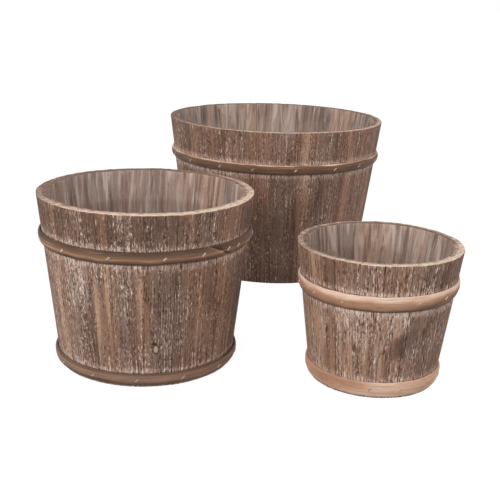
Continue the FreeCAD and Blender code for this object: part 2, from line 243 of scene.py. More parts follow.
def wallPlace(planter, heading, rise):
    turn = math.radians(heading)
    outward = Vector((math.cos(turn), math.sin(turn), 0))
    return planter["centre"] + outward * wallRadius(planter, rise) + Vector((0, 0, rise))


# Node helpers: a feed is a socket to link or a plain value
def addNode(tree, kind, feeds=None, **settings):
    node = tree.nodes.new(kind)
    for name, setting in settings.items():
        setattr(node, name, setting)
    for name, feed in (feeds or {}).items():
        if isinstance(feed, bpy.types.NodeSocket):
            tree.links.new(feed, node.inputs[name])
        else:
            node.inputs[name].default_value = feed
    return node


def sumUp(tree, operation, first, second=0.0, third=0.0):
    return addNode(tree, "ShaderNodeMath", {0: first, 1: second, 2: third}, operation=operation).outputs[0]


def fade(tree, number, start, end, low=0.0, high=1.0):
    feeds = {"Value": number, "From Min": start, "From Max": end, "To Min": low, "To Max": high}
    return addNode(tree, "ShaderNodeMapRange", feeds, interpolation_type="SMOOTHSTEP").outputs["Result"]


def grainNoise(tree, place, stretch, detail=3.0, roughness=0.55, distortion=0.0):
    scaled = addNode(tree, "ShaderNodeVectorMath", {0: place, 1: stretch}, operation="MULTIPLY")
    feeds = {"Vector": scaled.outputs[0], "Scale": 1.0, "Detail": detail, "Roughness": roughness,
             "Distortion": distortion}
    return addNode(tree, "ShaderNodeTexNoise", feeds).outputs[0]


def tint(tree, amount, under, over):
    mix = addNode(tree, "ShaderNodeMix", data_type="RGBA", blend_type="MIX")
    for socket, feed in ((mix.inputs[0], amount), (mix.inputs[6], under), (mix.inputs[7], over)):
        if isinstance(feed, bpy.types.NodeSocket):
            tree.links.new(feed, socket)
        else:
            socket.default_value = feed
    return mix.outputs[2]


def colourRamp(tree, amount, stops):
    node = addNode(tree, "ShaderNodeValToRGB", {"Fac": amount})
    ramp = node.color_ramp
    while len(ramp.elements) < len(stops):
        ramp.elements.new(0.5)
    for element, (place, colour) in zip(ramp.elements, stops):
        element.position = place
        element.color = colour
    return node.outputs["Color"]


# A colour as seen on a screen, 0 to 255
def paint(red, green, blue):
    shares = [level / 255 for level in (red, green, blue)]
    linear = [share / 12.92 if share <= 0.04045 else ((share + 0.055) / 1.055) ** 2.4 for share in shares]
    return (*linear, 1.0)


def newMaterial(name):
    material = bpy.data.materials.new(name)
    material.use_nodes = True
    tree = material.node_tree
    return material, tree, tree.nodes["Principled BSDF"]


staveFinish = {
    "darkStain": paint(88, 62, 46), "brownStain": paint(130, 95, 75), "redStain": paint(148, 107, 84),
    "orangeStain": paint(192, 151, 122), "greyStain": paint(128, 104, 92), "pore": paint(60, 39, 28),
    "wash": paint(204, 174, 157), "speck": paint(238, 217, 204), "insideGrey": paint(169, 150, 139),
    "insidePink": paint(189, 160, 145), "insidePeach": paint(208, 168, 143),
    "insideDark": paint(98, 78, 68), "insidePale": paint(226, 208, 197),
    "endWood": paint(236, 212, 192), "endDark": paint(196, 162, 138),
    "endBrown": paint(100, 79, 66), "endTan": paint(138, 111, 94),
    "roughness": 0.82, "shine": 0.25,
}
# Each noise of the wood: its steps across, into and along a board, its detail, roughness and distortion
staveGrain = {
    "broad": ((40.0, 20.0, 2.6), 3.0, 0.5, 0.4), "bands": ((95.0, 40.0, 4.0), 2.0, 0.5, 0.3),
    "mauves": ((70.0, 30.0, 5.0), 2.0, 0.5, 0.3), "lines": ((440.0, 100.0, 9.0), 2.0, 0.5, 0.4),
    "pebbles": ((330.0, 150.0, 260.0), 2.0, 0.5, 1.4), "patches": ((16.0, 16.0, 9.0), 3.0, 0.55, 0.0),
    "clumps": ((95.0, 40.0, 14.0), 2.0, 0.5, 0.3), "sway": ((32.0, 10.0, 26.0), 2.0, 0.5, 0.0),
    "streaks": ((120.0, 40.0, 11.0), 3.0, 0.5, 0.5), "smears": ((55.0, 55.0, 8.0), 3.0, 0.5, 0.9),
    "rings": ((70.0, 260.0, 0.0), 3.0, 0.55, 0.6),
}
# Where the wash gathers beside a hoop: from and to which distance above and below it
hoopWash = {"above": (0.012, 0.001), "below": (0.015, 0.002), "stop": 0.15, "amount": 0.8}
spotDepth = 20.0
knotShape = {"chip": (0.0042, 0.0075), "chipShift": (0.0025, 0, -0.0055),
             "core": (0.0050, 0.0024), "coreShift": (0, 0, 0.0035)}
crackShape = (0.0012, 0.0130)


# How far out a place is in an oval spot on a wall's face that looks towards -Y: 1 at its edge
def ovalSpot(tree, place, centre, wide, high):
    away = addNode(tree, "ShaderNodeVectorMath", {0: place, 1: tuple(centre)}, operation="SUBTRACT")
    scales = (1 / wide, spotDepth, 1 / high)
    scaled = addNode(tree, "ShaderNodeVectorMath", {0: away.outputs[0], 1: scales}, operation="MULTIPLY")
    return addNode(tree, "ShaderNodeVectorMath", {0: scaled.outputs[0]}, operation="LENGTH").outputs["Value"]


# Brushed fir, stained brown and rubbed with a pale wash, with sawn ends left light
def makeStaveWood(planter):
    material, tree, shader = newMaterial(planter["name"] + "StaveWood")
    grain = addNode(tree, "ShaderNodeAttribute", attribute_name="grain").outputs["Vector"]
    finish = addNode(tree, "ShaderNodeAttribute", attribute_name="finish").outputs["Vector"]
    style = addNode(tree, "ShaderNodeAttribute", attribute_name="style").outputs["Vector"]
    edge = addNode(tree, "ShaderNodeAttribute", attribute_name="edge").outputs["Fac"]
    across, depth, along = addNode(tree, "ShaderNodeSeparateXYZ", {0: grain}).outputs
    pebble, wave, wornAndLit = addNode(tree, "ShaderNodeSeparateXYZ", {0: style}).outputs
    stain, wash, grey = addNode(tree, "ShaderNodeSeparateXYZ", {0: finish}).outputs
    place = addNode(tree, "ShaderNodeTexCoord").outputs["Object"]
    rise = addNode(tree, "ShaderNodeSeparateXYZ", {0: place}).outputs[2]
    normal = addNode(tree, "ShaderNodeNewGeometry").outputs["Normal"]
    facing = addNode(tree, "ShaderNodeSeparateXYZ", {0: normal}).outputs[2]

    broad = grainNoise(tree, grain, *staveGrain["broad"])
    bands = grainNoise(tree, grain, *staveGrain["bands"])
    mauves = grainNoise(tree, grain, *staveGrain["mauves"])
    lines = grainNoise(tree, grain, *staveGrain["lines"])
    dashes = grainNoise(tree, grain, (410.0, 150.0, 135.0 * planter["grainRun"]), 3.0, 0.68, 0.7)
    pebbles = grainNoise(tree, grain, *staveGrain["pebbles"])
    patches = grainNoise(tree, place, *staveGrain["patches"])

    # stain: each board its own tone, with long soft bands in it
    tone = sumUp(tree, "MULTIPLY_ADD", sumUp(tree, "SUBTRACT", broad, 0.5), 1.1, stain)
    tone = sumUp(tree, "MULTIPLY_ADD", sumUp(tree, "SUBTRACT", bands, 0.5), 1.3, tone)
    colour = colourRamp(tree, tone, [(0.05, staveFinish["darkStain"]), (0.42, staveFinish["brownStain"]),
                                     (0.68, staveFinish["redStain"]), (1.0, staveFinish["orangeStain"])])
    greying = sumUp(tree, "MULTIPLY", grey, fade(tree, patches, 0.30, 0.55, 0.35, 1.0))
    greying = sumUp(tree, "MAXIMUM", greying, fade(tree, mauves, 0.54, 0.64, 0.0, 0.6))
    colour = tint(tree, greying, colour, staveFinish["greyStain"])

    # wash: a thin film, thicker in patches and beside the hoops
    besideHoop = None
    for low, high in planter["hoops"].values():
        above = [high.z + away for away in hoopWash["above"]]
        below = [low.z - away for away in hoopWash["below"]]
        for start, end in (above, below):
            band = fade(tree, rise, start, end)
            beyond = fade(tree, rise, end - (start - end) * hoopWash["stop"], end)
            band = sumUp(tree, "MULTIPLY", band, beyond)
            besideHoop = band if besideHoop is None else sumUp(tree, "MAXIMUM", besideHoop, band)
    film = sumUp(tree, "MULTIPLY", wash, fade(tree, patches, 0.33, 0.68, 0.25, 1.0))
    film = sumUp(tree, "MULTIPLY_ADD", besideHoop, hoopWash["amount"], film)
    colour = tint(tree, sumUp(tree, "MULTIPLY", film, 0.35), colour, staveFinish["wash"])

    # open grain: long lines and short dashes in clumps, dark in the hollows and pale where the wash stays on
    dashed = sumUp(tree, "SUBTRACT", dashes, 0.5)
    mark = sumUp(tree, "MULTIPLY_ADD", sumUp(tree, "SUBTRACT", lines, 0.5), 0.55, dashed)
    clumps = grainNoise(tree, grain, *staveGrain["clumps"])
    grainDepth = planter["grainDepth"]
    mark = sumUp(tree, "MULTIPLY", mark, fade(tree, clumps, 0.36, 0.60, 0.65 * grainDepth, 1.5 * grainDepth))
    pitting = sumUp(tree, "MULTIPLY", sumUp(tree, "SUBTRACT", pebbles, 0.5), pebble)
    mark = sumUp(tree, "MULTIPLY_ADD", pitting, 0.95, mark)
    sway = grainNoise(tree, grain, *staveGrain["sway"])
    swung = sumUp(tree, "MULTIPLY_ADD", sway, 16.0, sumUp(tree, "MULTIPLY", across, 1800.0))
    furrows = sumUp(tree, "SINE", swung)
    mark = sumUp(tree, "MULTIPLY_ADD", furrows, sumUp(tree, "MULTIPLY", wave, 0.085), mark)
    colour = tint(tree, fade(tree, mark, 0.0, -0.22, 0.0, 0.8), colour, staveFinish["pore"])
    washed = sumUp(tree, "MULTIPLY_ADD", film, 0.16, mark)
    held = fade(tree, film, 0.02, 0.30, 0.45, 1.0)
    flecks = sumUp(tree, "MULTIPLY", fade(tree, washed, 0.07, 0.26, 0.0, 0.85), held)
    colour = tint(tree, flecks, colour, staveFinish["wash"])
    specks = sumUp(tree, "MULTIPLY", fade(tree, washed, 0.22, 0.36, 0.0, 0.95), held)
    colour = tint(tree, specks, colour, staveFinish["speck"])

    # inside: greyer and softer, in wide streaks with smears of wash
    inner = fade(tree, depth, planter["wall"] * 0.45, planter["wall"] * 0.7)
    streaks = grainNoise(tree, grain, *staveGrain["streaks"])
    smears = grainNoise(tree, place, *staveGrain["smears"])
    innerTone = tint(tree, fade(tree, broad, 0.35, 0.65), staveFinish["insideGrey"],
                     staveFinish["insidePink"])
    innerTone = tint(tree, fade(tree, stain, 0.7, 1.0, 0.0, 0.6), innerTone, staveFinish["insidePeach"])
    innerTone = tint(tree, fade(tree, stain, 0.35, 0.0, 0.0, 0.5), innerTone, staveFinish["insideDark"])
    innerTone = tint(tree, fade(tree, streaks, 0.52, 0.30, 0.0, 0.68), innerTone, staveFinish["insideDark"])
    greyed = sumUp(tree, "MULTIPLY", grey, patches)
    innerTone = tint(tree, fade(tree, greyed, 0.05, 0.45, 0.0, 0.7), innerTone, staveFinish["greyStain"])
    innerTone = tint(tree, fade(tree, mark, 0.0, -0.3, 0.0, 0.55), innerTone, staveFinish["insideDark"])
    innerTone = tint(tree, fade(tree, streaks, 0.55, 0.70, 0.0, 0.7), innerTone, staveFinish["insidePale"])
    smeared = sumUp(tree, "MULTIPLY_ADD", sumUp(tree, "SUBTRACT", wash, 0.5), 0.2, smears)
    innerTone = tint(tree, fade(tree, smeared, 0.54, 0.72, 0.0, 0.5), innerTone, staveFinish["insidePale"])
    # painted shade: the inside darkens with depth below the rim; in the large it turns paler with depth
    # instead
    deepTone, shallow, deep, amount = planter["insideDepthShadeAndPale"]
    depthShadeAndPale = fade(tree, rise, planter["height"] - shallow, planter["height"] - deep, 0.0, amount)
    innerTone = tint(tree, depthShadeAndPale, innerTone, staveFinish[deepTone])
    colour = tint(tree, inner, colour, innerTone)

    # joints between boards stay dark
    seam = fade(tree, edge, 0.0009, 0.0001)
    colour = tint(tree, sumUp(tree, "MULTIPLY", seam, 0.75), colour, staveFinish["pore"])

    if "knot" in planter:
        centre = wallPlace(planter, *planter["knot"])
        chip = ovalSpot(tree, place, centre + Vector(knotShape["chipShift"]), *knotShape["chip"])
        colour = tint(tree, fade(tree, chip, 1.35, 0.95, 0.0, 0.7), colour, staveFinish["pore"])
        colour = tint(tree, fade(tree, chip, 0.9, 0.6, 0.0, 0.9), colour, staveFinish["wash"])
        core = ovalSpot(tree, place, centre + Vector(knotShape["coreShift"]), *knotShape["core"])
        colour = tint(tree, fade(tree, core, 1.1, 0.7, 0.0, 0.95), colour, staveFinish["pore"])
    if "crack" in planter:
        crack = ovalSpot(tree, place, wallPlace(planter, *planter["crack"]), *crackShape)
        colour = tint(tree, fade(tree, crack, 1.1, 0.6, 0.0, 0.95), colour, staveFinish["pore"])

    # sawn ends: light where wear shows, made paler towards the front as painted light and darker at the back
    # as painted shade, with rings, and brown towards the inside
    rings = grainNoise(tree, grain, *staveGrain["rings"])
    endTone = tint(tree, fade(tree, rings, 0.32, 0.60), staveFinish["endDark"], staveFinish["endWood"])
    endTone = tint(tree, sumUp(tree, "MULTIPLY", seam, 0.5), endTone, staveFinish["pore"])
    tinted = sumUp(tree, "SUBTRACT", 1.0, wornAndLit)
    tinted = sumUp(tree, "MULTIPLY_ADD", sumUp(tree, "SUBTRACT", clumps, 0.5), 0.8, tinted)
    inward = fade(tree, depth, planter["wall"] * 0.4, planter["wall"] * 0.8)
    tinted = sumUp(tree, "MULTIPLY_ADD", inward, planter["rimBrown"], tinted)
    brownTone = tint(tree, fade(tree, rings, 0.30, 0.65), staveFinish["endBrown"], staveFinish["endTan"])
    endTone = tint(tree, fade(tree, tinted, 0.1, 0.9), endTone, brownTone)
    upward = sumUp(tree, "MULTIPLY_ADD", sumUp(tree, "SUBTRACT", clumps, 0.5), 0.5, facing)
    atRim = sumUp(tree, "MULTIPLY", fade(tree, upward, 0.5, 0.85),
                  fade(tree, rise, planter["height"] - 0.012, planter["height"] - 0.006))
    colour = tint(tree, atRim, colour, endTone)

    bump = addNode(tree, "ShaderNodeBump", {"Strength": 0.5, "Distance": 0.0012, "Height": mark})
    tree.links.new(colour, shader.inputs["Base Color"])
    tree.links.new(bump.outputs[0], shader.inputs["Normal"])
    shader.inputs["Roughness"].default_value = staveFinish["roughness"]
    shader.inputs["Specular IOR Level"].default_value = staveFinish["shine"]
    return material


staveShape = {
    "rows": 30, "columns": 22, "arris": 0.0006, "rimRound": 0.0013, "grooveDepth": 0.005, "spread": 0.16,
    "strayTurn": 137.5, "shortest": 0.0007, "rimWave": 0.0004, "setBack": 0.0006, "flatness": 0.2,
    "relief": 0.00022, "hiddenJoint": 0.0011, "bleed": 0.3, "near": 0.0001, "nearRim": 0.0002,
    "weld": 0.00001, "fineWeld": 0.000005, "waveSteps": (160, 90, 6), "rimSteps": (90, 60, 0),
    "rimLightTurn": math.radians(60),
}


# One board of even width: the wall's section with its floor groove, turned about the planter's axis
def modelStave(planter):
    wall, height = planter["wall"], planter["height"]
    width = math.tau / planter["staves"]
    clearSelection()
    bpy.ops.mesh.primitive_plane_add(size=1)
    stave = bpy.context.object
    bpy.ops.object.mode_set(mode="EDIT")
    bpy.ops.transform.rotate(value=math.pi / 2, orient_axis="X", center_override=(0, 0, 0))
    bpy.ops.transform.resize(value=(wall, 1, height))
    bpy.ops.transform.translate(value=(planter["baseRadius"] - wall / 2, 0, height / 2))
    pick("verts", lambda vert: vert.co.z > height / 2)
    bpy.ops.transform.translate(value=(planter["topRadius"] - planter["baseRadius"], 0, 0))

    # groove for the floor, cut from the inner side
    lean = wallLean(planter)
    for point, normal in (((0, 0, planter["floorLow"]), (0, 0, 1)), ((0, 0, planter["floorHigh"]), (0, 0, 1)),
                          ((planter["baseRadius"] - wall + staveShape["grooveDepth"], 0, 0),
                           (math.cos(lean), 0, -math.sin(lean)))):
        bpy.ops.mesh.select_all(action="SELECT")
        bpy.ops.mesh.bisect(plane_co=point, plane_no=normal)
    middle = (planter["floorLow"] + planter["floorHigh"]) / 2
    inside = wallRadius(planter, middle) - wall + staveShape["grooveDepth"]
    pick("faces", lambda face: abs(face.calc_center_median().z - middle) < 0.002
         and face.calc_center_median().x < inside)
    bpy.ops.mesh.delete(type="FACE")

    def longRise(edge):
        return abs(edge.verts[0].co.z - edge.verts[1].co.z) > height / 2

    pick("edges", longRise)
    bpy.ops.mesh.subdivide(number_cuts=staveShape["rows"])
    bpy.ops.mesh.select_all(action="SELECT")
    bpy.ops.mesh.spin(steps=staveShape["columns"], angle=-width, center=(0, 0, 0), axis=(0, 0, 1))
    bpy.ops.mesh.select_all(action="SELECT")
    bpy.ops.mesh.remove_doubles(threshold=staveShape["weld"])
    bpy.ops.mesh.normals_make_consistent(inside=False)

    def outerEdge(edge):
        ends = [vert.co for vert in edge.verts]
        turns = [abs(math.atan2(end.y, end.x)) for end in ends]
        near = staveShape["near"]
        onSide = all(turn < near for turn in turns) or all(abs(turn - width) < near for turn in turns)
        onFace = all(abs(math.hypot(end.x, end.y) - wallRadius(planter, end.z)) < near for end in ends)
        return onSide and onFace

    def rimEdge(edge):
        ends = [vert.co for vert in edge.verts]
        reach = [planter["topRadius"] - math.hypot(end.x, end.y) for end in ends]
        near = staveShape["nearRim"]
        onEdge = all(abs(far) < near for far in reach) or all(abs(far - wall) < near for far in reach)
        return all(end.z > height - staveShape["near"] for end in ends) and onEdge

    pick("edges", outerEdge)
    bpy.ops.mesh.bevel(offset=staveShape["arris"], segments=2, affect="EDGES")
    pick("edges", rimEdge)
    bpy.ops.mesh.bevel(offset=staveShape["rimRound"], segments=3, affect="EDGES")
    bpy.ops.mesh.select_all(action="SELECT")
    bpy.ops.mesh.remove_doubles(threshold=staveShape["fineWeld"])
    bpy.ops.object.mode_set(mode="OBJECT")
    return stave


def jointAngle(planter, index):
    stray = math.sin(math.radians(staveShape["strayTurn"] * (index % planter["staves"])))
    steps = index + staveShape["spread"] * stray
    return math.radians(planter["staveTurn"]) + steps * math.tau / planter["staves"]


# Stain, wash and grey of a board: as seen on the ones in view, by chance on the rest
def boardFinish(planter, index):
    index = index % planter["staves"]
    seed = index + 100 * planter["staves"]
    drawn = (chance(seed + 3), 0.3 + 0.5 * chance(seed + 11), 0.6 * chance(seed + 19))
    return np.array(planter["finish"].get(index, drawn))


markFalloff = 0.8


# What the planter's marks add at each place: stain, wash, grey, pebbling, waves
def addMarks(planter, angle, radius, rise):
    total = np.zeros((len(angle), 5))
    for heading, level, wide, high, *added in planter["marks"]:
        turned = (angle - math.radians(heading) + math.pi) % math.tau - math.pi
        away = (turned * radius / wide) ** 2 + ((rise - level) / high) ** 4
        total += np.exp(-markFalloff * away)[:, None] * np.array(added)
    return total


# A copy of the board, fitted between its two joints and made a little uneven
def fitStave(planter, pattern, index):
    stave = pattern.copy()
    stave.data = pattern.data.copy()
    bpy.context.collection.objects.link(stave)
    points = meshPoints(stave.data)
    turn = np.abs(np.arctan2(points[:, 1], points[:, 0])) / (math.tau / planter["staves"])
    radius = np.hypot(points[:, 0], points[:, 1])
    rise = points[:, 2]
    start, end = jointAngle(planter, index), jointAngle(planter, index + 1)
    angle = start + turn * (end - start)
    outer = wallRadius(planter, rise)
    depth = outer - radius
    across = turn * (end - start) * outer
    width = (end - start) * outer
    seed = index + 100 * planter["staves"]

    face = np.clip(1 - depth / planter["wall"], 0, 1)
    sagitta = outer * (1 - math.cos((end - start) / 2))
    slip = staveShape["setBack"] * (chance(seed) * (1 - turn) + chance(seed + 31) * turn)
    cup = staveShape["flatness"] * sagitta * 4 * turn * (1 - turn)
    acrossStep, depthStep, riseStep = staveShape["waveSteps"]
    places = np.stack([across * acrossStep + seed, depth * depthStep, rise * riseStep], axis=1)
    wave = staveShape["relief"] * (ripple(places) - 1)
    radius = radius - slip - cup + wave * np.where(face > 0.5, 1, -1)
    short = staveShape["shortest"] * chance(seed + 57)
    top = np.clip(rise / planter["height"], 0, 1) ** 6
    acrossStep, depthStep, riseStep = staveShape["rimSteps"]
    rimPlaces = np.stack([across * acrossStep + seed, depth * depthStep, rise * riseStep], axis=1)
    rise = rise - top * (short + staveShape["rimWave"] * (ripple(rimPlaces) + 1))

    setPoints(stave.data, atCentre(planter, angle, radius, rise))
    # the stain bleeds a little over each joint
    own, before, after = [boardFinish(planter, index + step) for step in (0, -1, 1)]
    bleed = [np.clip(0.5 - away / (2 * staveShape["bleed"]), 0, 0.5)[:, None] for away in (turn, 1 - turn)]
    finish = own + bleed[0] * (before - own) + bleed[1] * (after - own)
    setAttribute(stave.data, "grain", "FLOAT_VECTOR", "vector",
                 np.stack([across + seed * 0.37, depth, rise + seed * 0.83], axis=1))
    marked = addMarks(planter, angle, outer, rise)
    finish = finish + marked[:, :3] * (face > 0.5)[:, None]
    # painted light: the sawn ends are drawn paler on the side that faces the light and darker away from it,
    # scaled by the rim's wear
    lit = 0.55 + 0.55 * np.cos(angle + staveShape["rimLightTurn"])
    wornAndLit = planter["rimWearAndLight"] * np.clip(lit, planter["rimLeast"], 1)
    setAttribute(stave.data, "finish", "FLOAT_VECTOR", "vector", finish)
    setAttribute(stave.data, "style", "FLOAT_VECTOR", "vector", np.column_stack([marked[:, 3:], wornAndLit]))
    hidden = [staveShape["hiddenJoint"] * chance(seed + 71 + side) for side in (0, 1)]
    toJoint = np.minimum(across + hidden[0], width - across + hidden[1])
    setAttribute(stave.data, "edge", "FLOAT", "value", toJoint)
    return stave


def joinPieces(pieces, name):
    clearSelection()
    for piece in pieces:
        piece.select_set(True)
    bpy.context.view_layer.objects.active = pieces[0]
    if len(pieces) > 1:
        bpy.ops.object.join()
    joined = bpy.context.object
    joined.name = name
    joined.data.name = name
    return joined


smoothAngle = math.radians(38)


# Shading, materials, and which node of the frame the piece stands for
def finishPiece(piece, node, materials, smooth=smoothAngle):
    clearSelection()
    piece.select_set(True)
    bpy.context.view_layer.objects.active = piece
    bpy.ops.object.shade_smooth_by_angle(angle=smooth)
    piece.data.materials.clear()
    for material in materials:
        piece.data.materials.append(material)
    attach(piece, "root")
    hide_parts(node)


def makeStaves(planter):
    pattern = modelStave(planter)
    wood = makeStaveWood(planter)
    for pair in range(planter["staves"] // 2):
        staves = [fitStave(planter, pattern, 2 * pair + side) for side in (0, 1)]
        piece = joinPieces(staves, "%sStaves%02d" % (planter["name"], pair + 1))
        finishPiece(piece, "%s_staves_%02d" % (planter["name"], pair + 1), [wood])
    bpy.data.objects.remove(pattern)
    print(planter["name"], "staves:", planter["staves"])


hoopFinish = {
    "dark": paint(70, 51, 39), "brown": paint(141, 106, 82), "peach": paint(206, 157, 126),
    "pale": paint(242, 209, 187), "shade": paint(66, 48, 38), "wash": paint(222, 198, 182),
    "grey": paint(150, 124, 112), "roughness": 0.68, "shine": 0.3,
}


# Split rod: its colour changes across its face in bands, partly its tone and partly painted highlights and
# painted shadow lines, with streaks along it and some wash rubbed in
def makeHoopWood(planter, place):
    material, tree, shader = newMaterial(planter["name"] + place.capitalize() + "HoopWood")
    grain = addNode(tree, "ShaderNodeAttribute", attribute_name="grain").outputs["Vector"]
    level = addNode(tree, "ShaderNodeSeparateXYZ", {0: grain}).outputs[2]
    lift = addNode(tree, "ShaderNodeAttribute", attribute_name="lift").outputs["Fac"]
    streaks = grainNoise(tree, grain, (9.0, 300.0, 9.0), 4.0, 0.6, 0.3)
    patches = grainNoise(tree, grain, (16.0, 20.0, 1.5), 3.0, 0.55)
    fibre = grainNoise(tree, grain, (60.0, 900.0, 30.0), 3.0, 0.6)
    stray = sumUp(tree, "MULTIPLY_ADD", sumUp(tree, "SUBTRACT", patches, 0.5), 0.3, level)
    height = sumUp(tree, "ADD", stray, 0.5)
    # painted light and shade: the bands lighten or darken the rod across its height, with shadow lines at its
    # edges and highlights on it
    bands = colourRamp(tree, height, [(at, (tone, tone, tone, 1)) for at, tone in planter[place + "Bands"]])
    lifted = sumUp(tree, "ADD", bands, lift)
    tone = sumUp(tree, "MULTIPLY_ADD", sumUp(tree, "SUBTRACT", patches, 0.5), 0.5, lifted)
    colour = colourRamp(tree, tone, [(0.0, hoopFinish["dark"]), (0.45, hoopFinish["brown"]),
                                     (0.8, hoopFinish["peach"]), (1.0, hoopFinish["pale"])])
    if place == "lower":
        colour = tint(tree, sumUp(tree, "MULTIPLY", tone, planter["lowerGrey"]), colour, hoopFinish["grey"])
    colour = tint(tree, fade(tree, streaks, 0.48, 0.28, 0.0, 0.5), colour, hoopFinish["shade"])
    colour = tint(tree, fade(tree, fibre, 0.45, 0.28, 0.0, 0.35), colour, hoopFinish["shade"])
    colour = tint(tree, fade(tree, streaks, 0.60, 0.74, 0.0, 0.4), colour, hoopFinish["wash"])
    bump = addNode(tree, "ShaderNodeBump", {"Strength": 0.4, "Distance": 0.001, "Height": streaks})
    tree.links.new(colour, shader.inputs["Base Color"])
    tree.links.new(bump.outputs[0], shader.inputs["Normal"])
    shader.inputs["Roughness"].default_value = hoopFinish["roughness"]
    shader.inputs["Specular IOR Level"].default_value = hoopFinish["shine"]
    return material


hoopShape = {
    "sides": 30, "steps": 160, "gap": 0.0002, "slit": 0.0009, "taperRun": 0.09, "swell": 0.10,
    "wander": 0.0006, "step": 0.38, "stepRun": 0.035, "driftTurn": 7, "driftRise": 0.5,
    "scarfLightAndShade": 0.3, "pastScarf": 0.008, "beforeScarf": 0.014, "smooth": math.radians(50),
}


# A half-round rod turned round the staves, its two ends cut on a slant to meet in a scarf
def makeHoop(planter, place):
    low, high = planter["hoops"][place]
    middle = (low.z + high.z) / 2
    rod = high.z - low.z
    backRadius = wallRadius(planter, middle) + hoopShape["gap"]
    depth = (high.x - low.x) / 2 - wallRadius(planter, high.z) - hoopShape["gap"]
    clearSelection()
    bpy.ops.mesh.primitive_circle_add(vertices=hoopShape["sides"], radius=0.5, fill_type="NGON")
    hoop = bpy.context.object
    bpy.ops.object.mode_set(mode="EDIT")
    bpy.ops.transform.rotate(value=math.pi / 2, orient_axis="X", center_override=(0, 0, 0))
    bpy.ops.transform.resize(value=(2 * depth, 1, rod))
    bpy.ops.mesh.select_all(action="SELECT")
    bpy.ops.mesh.bisect(plane_co=(0, 0, 0), plane_no=(1, 0, 0), clear_inner=True)
    bpy.ops.mesh.select_all(action="SELECT")
    bpy.ops.transform.translate(value=(backRadius, 0, middle))
    sweep = math.tau - hoopShape["slit"] / backRadius
    bpy.ops.mesh.spin(steps=hoopShape["steps"], angle=sweep, center=(0, 0, 0), axis=(0, 0, 1))
    bpy.ops.mesh.select_all(action="SELECT")
    bpy.ops.mesh.normals_make_consistent(inside=False)
    bpy.ops.object.mode_set(mode="OBJECT")

    points = meshPoints(hoop.data)
    angle = np.arctan2(points[:, 1], points[:, 0])
    angle = np.mod(angle, math.tau)
    radius = np.hypot(points[:, 0], points[:, 1])
    level = (points[:, 2] - middle) / rod
    out = radius - backRadius
    fromEnd = np.minimum(angle, math.tau - angle) * backRadius
    slant = np.clip(1 - fromEnd / hoopShape["taperRun"], 0, 1)
    turned = angle - level * planter["scarfRun"] / backRadius * slant
    seed = 40 + planter["staves"] + (7 if place == "upper" else 0)
    reach = hoopShape["driftTurn"]
    places = np.stack([np.cos(angle) * reach + seed, np.sin(angle) * reach,
                       level * hoopShape["driftRise"]], axis=1)
    drift = ripple(places)
    out = out * (1 - hoopShape["swell"] * (drift * 0.5 + 0.5))
    # past the scarf the rod starts thin, so that the other end stands proud of it
    out = out * (1 - hoopShape["step"] * np.clip(1 - angle * backRadius / hoopShape["stepRun"], 0, 1))
    skew, skewHeading = planter["hoopSkew"] if place == "upper" else (0.0, 0.0)
    start = math.radians(planter[place + "Scarf"]) + 0.5 * hoopShape["slit"] / backRadius
    heading = start + turned
    tilted = skew * np.cos(heading - math.radians(skewHeading))
    rise = middle + level * rod + hoopShape["wander"] * ripple(places + 50) + tilted
    setPoints(hoop.data, atCentre(planter, heading, wallRadius(planter, rise) + hoopShape["gap"] + out, rise))
    along = angle * backRadius + seed
    setAttribute(hoop.data, "grain", "FLOAT_VECTOR", "vector", np.stack([along, out, level], axis=1))
    # at the scarf, the end that stands proud gets a painted highlight and the thin start gets painted shade
    pastScarf = np.exp(-(angle * backRadius / hoopShape["pastScarf"]) ** 2)
    beforeScarf = np.exp(-((math.tau - angle) * backRadius / hoopShape["beforeScarf"]) ** 2)
    lift = hoopShape["scarfLightAndShade"] * beforeScarf - hoopShape["scarfLightAndShade"] * pastScarf
    # spots on a hoop's face at some headings, lighter or darker than its bands
    for tinted, toward, wide, at, tall, added in planter["hoopStains"]:
        if tinted == place:
            turnedAway = (heading - math.radians(toward) + math.pi) % math.tau - math.pi
            lift += added * np.exp(-(turnedAway / math.radians(wide)) ** 2 - ((level + 0.5 - at) / tall) ** 2)
    setAttribute(hoop.data, "lift", "FLOAT", "value", lift)
    hoop.name = "%s%sHoop" % (planter["name"], place.capitalize())
    finishPiece(hoop, "%s_%s_hoop" % (planter["name"], place), [makeHoopWood(planter, place)],
                hoopShape["smooth"])
    return {"radius": backRadius + depth, "rise": middle, "skew": skew,
            "skewHeading": math.radians(skewHeading)}


stapleShape = {
    "crown": 0.0070, "wire": 0.0013, "width": 0.0021, "leg": 0.006, "round": 0.0005, "lift": 0.0004,
    "tilt": 40.0, "tiltSpread": 14,
}
# upper and lower say how much of the bright tone is left on the staples of that hoop
stapleFinish = {"bright": paint(228, 213, 197), "dull": paint(156, 140, 126), "upper": 1.0, "lower": 0.3}


def makeStapleSteel():
    material, tree, shader = newMaterial("stapleSteel")
    place = addNode(tree, "ShaderNodeTexCoord").outputs["Object"]
    film = grainNoise(tree, place, (260.0, 260.0, 260.0), 3.0, 0.6)
    kept = addNode(tree, "ShaderNodeAttribute", attribute_name="bright").outputs["Fac"]
    bright = sumUp(tree, "MULTIPLY", fade(tree, film, 0.35, 0.62), kept)
    colour = tint(tree, bright, stapleFinish["dull"], stapleFinish["bright"])
    tree.links.new(colour, shader.inputs["Base Color"])
    tree.links.new(fade(tree, film, 0.3, 0.7, 0.6, 0.35), shader.inputs["Roughness"])
    shader.inputs["Metallic"].default_value = 0.35
    return material


